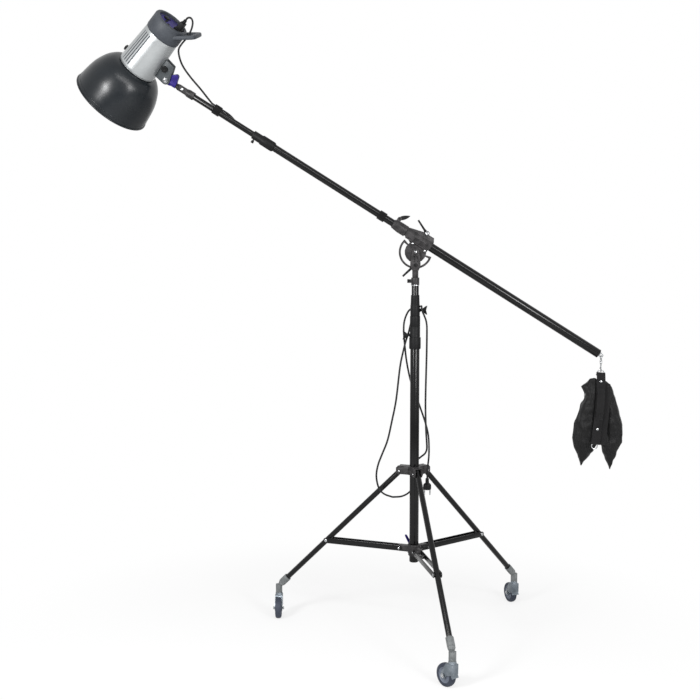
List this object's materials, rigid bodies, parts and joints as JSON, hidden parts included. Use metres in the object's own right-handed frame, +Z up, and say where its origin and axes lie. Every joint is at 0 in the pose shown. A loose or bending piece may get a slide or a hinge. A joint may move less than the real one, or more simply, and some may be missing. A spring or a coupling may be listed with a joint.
{
  "type": "overhead boom light stand",
  "caption": "Rolling tripod stand with telescoping risers and a tilting, telescoping boom that carries a lamp with a deep reflector against a hanging sandbag.",
  "frame": {"origin": "on the floor under the middle of the object's bounding box, measured without the lead", "axes": "+Z up, +X from the lamp towards the counterweight along the boom's plane, +Y away from the viewer of the picture"},
  "size_m": [1.878, 0.9338, 2.137],
  "materials": {
    "black_coat": "satin black coat on steel tube",
    "dark_casting": "fine textured black coat on die casting",
    "grey_casting": "matt grey coat on die casting",
    "fork_grey": "zinc plated pressed steel",
    "wheel_grey": "blue grey rubber tread",
    "black_plastic": "black moulded nylon",
    "violet_plastic": "blue violet coat",
    "silver_paint": "silver paint on extruded housing",
    "slate_plastic": "slate grey moulding",
    "reflector_black": "semi matt black outside, silvered inside",
    "frosted_glass": "frosted",
    "zinc_steel": "bright nickel plate",
    "black_cloth": "coated black nylon",
    "sand": "dry sand",
    "lead_grey": "rubber sheathed cable"
  },
  "bodies": {
    "base": {"column_tube": "black_coat", "leg_hub": "dark_casting", "column_clamp": "black_plastic"},
    "column_knob": {"column_clamp_knob": "black_plastic"},
    "strut_hub": {"strut_hub": "dark_casting"},
    "strut_hub_lever": {"strut_hub_lever": "violet_plastic"},
    "strut_hub_knob": {"strut_hub_knob": "black_plastic"},
    "leg_left": {"leg_left": "black_coat", "leg_foot_left": "grey_casting"},
    "strut_left": {"strut_left": "black_coat"},
    "fork_left": {"caster_fork_left": "fork_grey"},
    "wheel_left": {"caster_wheel_left": "wheel_grey"},
    "leg_right": {"leg_right": "black_coat", "leg_foot_right": "grey_casting"},
    "strut_right": {"strut_right": "black_coat"},
    "fork_right": {"caster_fork_right": "fork_grey"},
    "wheel_right": {"caster_wheel_right": "wheel_grey"},
    "leg_front": {"leg_front": "black_coat", "leg_foot_front": "grey_casting"},
    "strut_front": {"strut_front": "black_coat"},
    "fork_front": {"caster_fork_front": "fork_grey"},
    "wheel_front": {"caster_wheel_front": "wheel_grey"},
    "riser_1": {"riser_lower": "black_coat", "riser_clamp": "black_plastic", "lead_head": "lead_grey", "lead_hang": "lead_grey", "lead_plug": "black_plastic"},
    "riser_knob": {"riser_clamp_knob": "black_plastic"},
    "riser_2": {"riser_upper": "black_coat"},
    "head": {"head_socket": "dark_casting", "yoke": "dark_casting"},
    "head_knob": {"head_socket_knob": "black_plastic"},
    "tilt_lever": {"tilt_lock_lever": "black_plastic"},
    "tilt": {"tilt_sector": "dark_casting", "saddle": "dark_casting"},
    "saddle_lever": {"saddle_lever": "black_plastic"},
    "boom": {"boom_tube": "black_coat", "boom_plug": "black_plastic", "boom_clamp": "dark_casting"},
    "boom_lever": {"boom_clamp_lever": "black_plastic"},
    "middle": {"middle_tube": "black_coat", "middle_clamp": "black_plastic", "tie_rear": "black_plastic", "lead_boom": "lead_grey"},
    "middle_knob": {"middle_clamp_knob": "black_plastic"},
    "front": {"front_tube": "black_coat", "boom_tip": "dark_casting", "tie_front": "black_plastic", "lead_lamp": "lead_grey"},
    "lamp_socket": {"lamp_socket": "violet_plastic"},
    "socket_lever": {"lamp_socket_lever": "black_plastic"},
    "lamp": {"lamp_bracket": "grey_casting", "lamp_body": "silver_paint", "lamp_rear": "slate_plastic", "reflector": "reflector_black", "flash_head": "frosted_glass", "lead_inlet_plug": "black_plastic"},
    "counterweight": {"snap_hook": "zinc_steel", "sandbag": "black_cloth", "sandbag_filling": "sand"}
  },
  "joints": [
    {"name": "strut_hub_slide", "type": "slide", "parent": "base", "child": "strut_hub", "axis": [0, 0, 1], "range_m": [0, 0.1595]},
    {"name": "strut_hub_lever_turn", "type": "hinge", "parent": "strut_hub", "child": "strut_hub_lever", "pos_m": [0.19825, 0.09349, 0.31403], "axis": [-0.4226, 0.9063, 0], "range_deg": [0, 60]},
    {"name": "strut_hub_knob_turn", "type": "hinge", "parent": "strut_hub", "child": "strut_hub_knob", "pos_m": [0.23621, 0.06273, 0.31103], "axis": [0.9781, -0.2079, 0], "continuous": true},
    {"name": "leg_left_fold", "type": "hinge", "parent": "base", "child": "leg_left", "pos_m": [0.16271, 0.0874, 0.57703], "axis": [-0.3746, -0.9272, 0], "range_deg": [0, 35.53]},
    {"name": "strut_left_swing", "type": "hinge", "parent": "strut_hub", "child": "strut_left", "pos_m": [0.16271, 0.0874, 0.30303], "axis": [-0.3746, -0.9272, 0], "range_deg": [0, 75.91]},
    {"name": "caster_left_swivel", "type": "hinge", "parent": "leg_left", "child": "fork_left", "pos_m": [-0.27492, 0.26422, 0], "axis": [0, 0, 1], "continuous": true},
    {"name": "caster_left_roll", "type": "hinge", "parent": "fork_left", "child": "wheel_left", "pos_m": [-0.27541, 0.23622, 0.03678], "axis": [-0.9998, 0.0175, 0], "continuous": true},
    {"name": "leg_right_fold", "type": "hinge", "parent": "base", "child": "leg_right", "pos_m": [0.24907, 0.10108, 0.57703], "axis": [-0.6428, 0.766, 0], "range_deg": [0, 35.53]},
    {"name": "strut_right_swing", "type": "hinge", "parent": "strut_hub", "child": "strut_right", "pos_m": [0.24907, 0.10108, 0.30303], "axis": [-0.6428, 0.766, 0], "range_deg": [0, 75.91]},
    {"name": "caster_right_swivel", "type": "hinge", "parent": "leg_right", "child": "fork_right", "pos_m": [0.61064, 0.40448, 0], "axis": [0, 0, 1], "continuous": true},
    {"name": "caster_right_roll", "type": "hinge", "parent": "fork_right", "child": "wheel_right", "pos_m": [0.60106, 0.43079, 0.03678], "axis": [0.9397, 0.342, 0], "continuous": true},
    {"name": "leg_front_fold", "type": "hinge", "parent": "base", "child": "leg_front", "pos_m": [0.21886, 0.01808, 0.57703], "axis": [0.9848, 0.1736, 0], "range_deg": [0, 35.53]},
    {"name": "strut_front_swing", "type": "hinge", "parent": "strut_hub", "child": "strut_front", "pos_m": [0.21886, 0.01808, 0.30303], "axis": [0.9848, 0.1736, 0], "range_deg": [0, 75.91]},
    {"name": "caster_front_swivel", "type": "hinge", "parent": "leg_front", "child": "fork_front", "pos_m": [0.30082, -0.44676, 0], "axis": [0, 0, 1], "continuous": true},
    {"name": "caster_front_roll", "type": "hinge", "parent": "fork_front", "child": "wheel_front", "pos_m": [0.28397, -0.42439, 0.03678], "axis": [0.7986, 0.6018, 0], "continuous": true},
    {"name": "column_knob_turn", "type": "hinge", "parent": "base", "child": "column_knob", "pos_m": [0.1891, 0.0683, 1.052], "axis": [-1, 0, 0], "continuous": true},
    {"name": "riser_lower_slide", "type": "slide", "parent": "base", "child": "riser_1", "axis": [0, 0, 1], "range_m": [0, 0.6]},
    {"name": "riser_knob_turn", "type": "hinge", "parent": "riser_1", "child": "riser_knob", "pos_m": [0.2297, 0.0683, 1.138], "axis": [1, 0, 0], "continuous": true},
    {"name": "riser_upper_slide", "type": "slide", "parent": "riser_1", "child": "riser_2", "axis": [0, 0, 1], "range_m": [0, 0.6]},
    {"name": "head_pan", "type": "hinge", "parent": "riser_2", "child": "head", "pos_m": [0.21, 0.0683, 1.2], "axis": [0, 0, 1], "range_deg": [-170, 170]},
    {"name": "head_knob_turn", "type": "hinge", "parent": "head", "child": "head_knob", "pos_m": [0.1917, 0.0683, 1.238], "axis": [-1, 0, 0], "continuous": true},
    {"name": "tilt_lever_turn", "type": "hinge", "parent": "head", "child": "tilt_lever", "pos_m": [0.21, 0.0683, 1.293], "axis": [0, 1, 0], "range_deg": [-60, 60]},
    {"name": "boom_tilt", "type": "hinge", "parent": "head", "child": "tilt", "pos_m": [0.21, 0.0683, 1.337], "axis": [0, 1, 0], "range_deg": [-60, 20], "deforming": ["lead_head"]},
    {"name": "saddle_lever_turn", "type": "hinge", "parent": "tilt", "child": "saddle_lever", "pos_m": [0.24859, 0.0683, 1.40015], "axis": [0, 1, 0], "range_deg": [0, 60]},
    {"name": "boom_slide", "type": "slide", "parent": "tilt", "child": "boom", "axis": [-0.8462, 0, 0.5329], "range_m": [0, 0.3]},
    {"name": "boom_lever_turn", "type": "hinge", "parent": "boom", "child": "boom_lever", "pos_m": [0.15574, 0.0683, 1.44976], "axis": [0, 1, 0], "range_deg": [-80, 10]},
    {"name": "middle_slide", "type": "slide", "parent": "boom", "child": "middle", "axis": [-0.8462, 0, 0.5329], "range_m": [-0.025, 0.17]},
    {"name": "middle_knob_turn", "type": "hinge", "parent": "middle", "child": "middle_knob", "pos_m": [-0.34076, 0.0683, 1.71598], "axis": [-0.5329, 0, -0.8462], "continuous": true},
    {"name": "front_slide", "type": "slide", "parent": "middle", "child": "front", "axis": [-0.8462, 0, 0.5329], "range_m": [-0.12, 0.22], "deforming": ["lead_boom"]},
    {"name": "lamp_swivel", "type": "hinge", "parent": "front", "child": "lamp_socket", "pos_m": [0.23238, 0.0683, 1.37254], "axis": [0.8462, 0, -0.5329], "range_deg": [-90, 90]},
    {"name": "socket_lever_turn", "type": "hinge", "parent": "lamp_socket", "child": "socket_lever", "pos_m": [-0.60729, 0.07929, 1.9064], "axis": [0.1944, 0.9311, 0.3088], "range_deg": [-60, 60]},
    {"name": "lamp_tilt", "type": "hinge", "parent": "lamp_socket", "child": "lamp", "pos_m": [-0.63243, 0.0683, 1.91714], "axis": [-0.1944, -0.9311, -0.3088], "range_deg": [-15, 60], "deforming": ["lead_lamp"]},
    {"name": "sandbag_swing", "type": "hinge", "parent": "boom", "child": "counterweight", "pos_m": [0.85179, 0.0683, 0.98247], "axis": [0, -1, 0], "range_deg": [-45, 35]}
  ],
  "couplings": [
    {"joint": "leg_left_fold", "follows": "strut_hub_slide", "rad_per_m": 3.8868},
    {"joint": "strut_left_swing", "follows": "strut_hub_slide", "rad_per_m": 8.3053},
    {"joint": "leg_right_fold", "follows": "strut_hub_slide", "rad_per_m": 3.8868},
    {"joint": "strut_right_swing", "follows": "strut_hub_slide", "rad_per_m": 8.3053},
    {"joint": "leg_front_fold", "follows": "strut_hub_slide", "rad_per_m": 3.8868},
    {"joint": "strut_front_swing", "follows": "strut_hub_slide", "rad_per_m": 8.3053}
  ]
}
